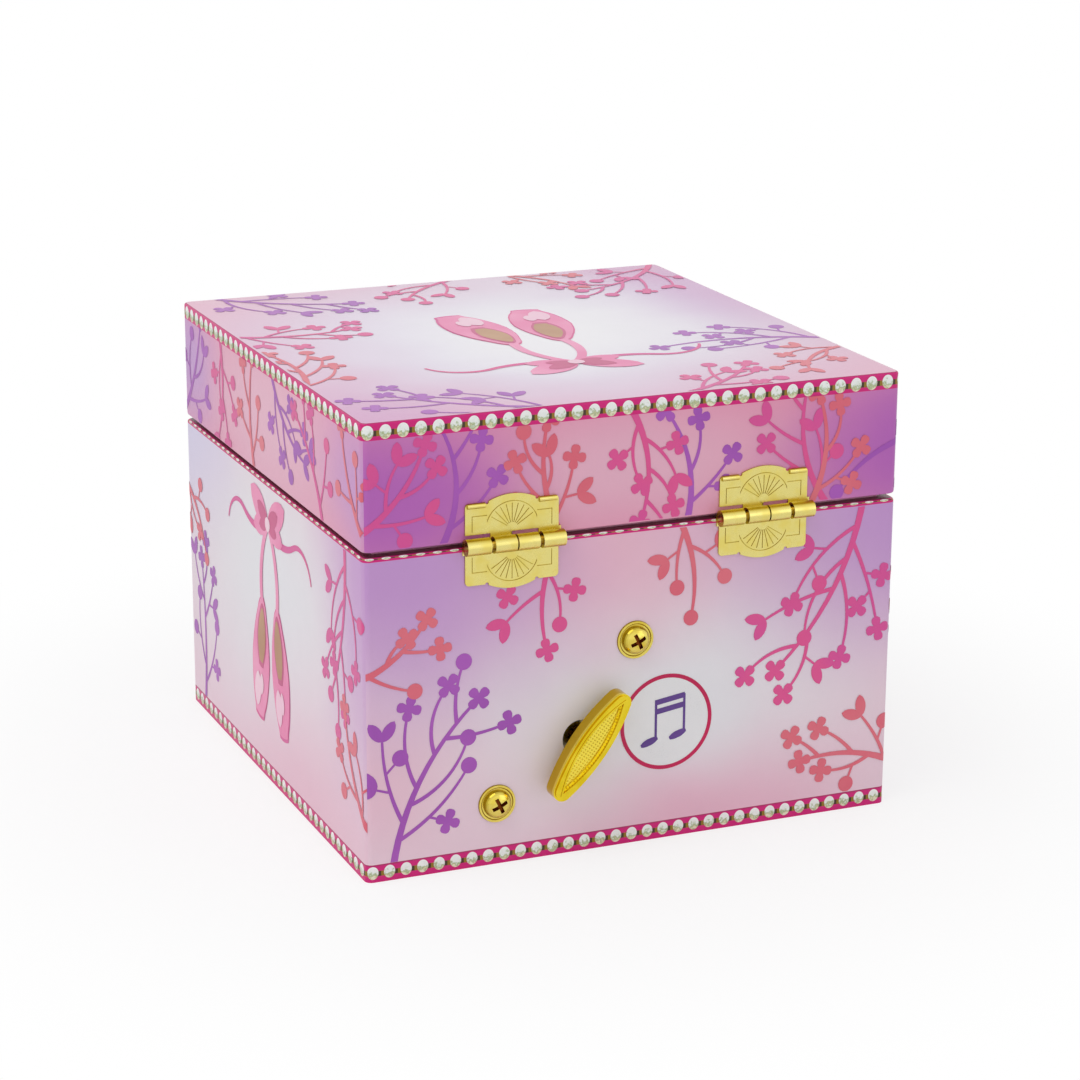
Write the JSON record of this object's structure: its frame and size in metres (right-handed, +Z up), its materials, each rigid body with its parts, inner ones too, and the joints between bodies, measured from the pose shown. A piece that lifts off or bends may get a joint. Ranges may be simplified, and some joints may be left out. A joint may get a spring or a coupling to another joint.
{
  "type": "musical jewellery box",
  "caption": "Square paper-covered musical jewellery box with a hinged lid, brass hinges, a winding key on the back, a pinned-cylinder movement and a folding dancer.",
  "frame": {"origin": "centre of the base's footprint on the surface it rests on", "axes": "+Z up; the lid opens at the front (-Y) and its hinges and the winding key are on the back (+Y)"},
  "size_m": [0.11, 0.1185, 0.0888],
  "materials": {
    "base_print": "printed paper over fibreboard",
    "lid_print": "printed paper over fibreboard",
    "plain_board": "paper-covered fibreboard",
    "liner_card": "satin paper",
    "velvet": "flocked velvet",
    "satin": "satin",
    "badge_paper": "gloss label, blank",
    "hinge_brass": "polished plate",
    "pin_steel": "plain wire",
    "screw_gold": "polished gold plate",
    "blued_steel": "blued",
    "cast_metal": "die cast",
    "bracket_steel": "satin",
    "comb_steel": "ground",
    "movement_brass": "satin",
    "arbor_steel": "bright",
    "key_gold": "polished gold plate",
    "pad_leather": "suede",
    "spring_steel": "nickel-plated wire",
    "doll_plastic": "painted",
    "tulle": "net",
    "hair_paint": "painted",
    "mirror_glass": "silvered"
  },
  "bodies": {
    "case": {"base_front": "base_print", "base_back": "base_print", "base_left": "base_print", "base_right": "base_print", "base_floor": "plain_board", "base_liner": "liner_card", "partition": "liner_card", "deck": "velvet", "divider": "liner_card", "floor_pad": "velvet", "ring_cushion": "velvet", "roundel": "badge_paper", "case_screws": "screw_gold", "bedplate": "cast_metal", "lower_bracket": "bracket_steel", "upper_bracket": "bracket_steel", "governor_frame": "bracket_steel", "comb_block": "cast_metal", "comb": "comb_steel", "comb_screws": "blued_steel", "barrel_bridge": "bracket_steel", "bridge_screws": "blued_steel", "bracket_screws": "blued_steel", "hinge_base_leaf_left": "hinge_brass", "hinge_base_leaf_right": "hinge_brass", "hinge_pins": "pin_steel"},
    "lid": {"lid_top": "lid_print", "lid_front": "lid_print", "lid_back": "lid_print", "lid_left": "lid_print", "lid_right": "lid_print", "lid_liner": "liner_card", "lid_lining": "satin", "lid_mirror": "mirror_glass", "hinge_lid_leaf_left": "hinge_brass", "hinge_lid_leaf_right": "hinge_brass"},
    "cylinder": {"cylinder_arbor": "arbor_steel", "music_cylinder": "movement_brass", "crown_gear": "movement_brass", "cylinder_gear": "movement_brass", "dancer_seat": "key_gold"},
    "barrel": {"barrel_drum": "movement_brass", "barrel_cap": "movement_brass", "mainspring": "blued_steel"},
    "key": {"winding_arbor": "arbor_steel", "winding_key": "key_gold"},
    "speed_wheel": {"governor_wheel": "movement_brass"},
    "governor": {"governor_worm": "arbor_steel", "governor_fan": "movement_brass"},
    "stopper": {"stop_rod": "arbor_steel", "stop_pad": "pad_leather", "stop_spring": "spring_steel"},
    "fold": {"dancer_spring": "spring_steel"},
    "dancer": {"dancer_ferrule": "key_gold", "dancer_body": "doll_plastic", "dancer_tutu": "tulle", "dancer_hair": "hair_paint"}
  },
  "joints": [
    {"name": "lid_hinge", "type": "hinge", "parent": "case", "child": "lid", "pos_m": [0, 0.0579, 0.0641], "axis": [-1, 0, 0], "range_deg": [0, 100]},
    {"name": "key_wind", "type": "hinge", "parent": "case", "child": "key", "pos_m": [0.0117, 0.056, 0.0231], "axis": [0, -1, 0], "range_deg": [0, 1080]},
    {"name": "cylinder_spin", "type": "hinge", "parent": "case", "child": "cylinder", "pos_m": [0.0117, 0.0395, 0.045], "axis": [0, 0, 1], "continuous": true},
    {"name": "barrel_spin", "type": "hinge", "parent": "case", "child": "barrel", "pos_m": [0.0117, 0.047, 0.0231], "axis": [0, 1, 0], "continuous": true},
    {"name": "speed_wheel_spin", "type": "hinge", "parent": "case", "child": "speed_wheel", "pos_m": [0.0232, 0.0395, 0.05], "axis": [0, 0, 1], "continuous": true},
    {"name": "governor_spin", "type": "hinge", "parent": "case", "child": "governor", "pos_m": [0.0282, 0.0395, 0.05], "axis": [0, 1, 0], "continuous": true},
    {"name": "stop_slide", "type": "slide", "parent": "case", "child": "stopper", "axis": [0, 0, 1], "range_m": [0, 0.0009], "deforming": ["stop_spring"]},
    {"name": "dancer_fold", "type": "hinge", "parent": "case", "child": "fold", "pos_m": [0.0117, 0.038, 0.0695], "axis": [-1, 0, 0], "range_deg": [0, 90], "deforming": ["dancer_spring"]},
    {"name": "dancer_spin", "type": "hinge", "parent": "fold", "child": "dancer", "pos_m": [0.0117, 0.0325, 0.071], "axis": [0, -1, 0], "continuous": true}
  ],
  "couplings": [
    {"joint": "barrel_spin", "follows": "cylinder_spin", "ratio": -0.6},
    {"joint": "speed_wheel_spin", "follows": "cylinder_spin", "ratio": -3.6},
    {"joint": "governor_spin", "follows": "cylinder_spin", "ratio": 50.4},
    {"joint": "dancer_spin", "follows": "cylinder_spin", "ratio": 1},
    {"joint": "dancer_fold", "follows": "lid_hinge", "ratio": 0.9},
    {"joint": "stop_slide", "follows": "lid_hinge", "m_per_rad": 0.00051566}
  ]
}
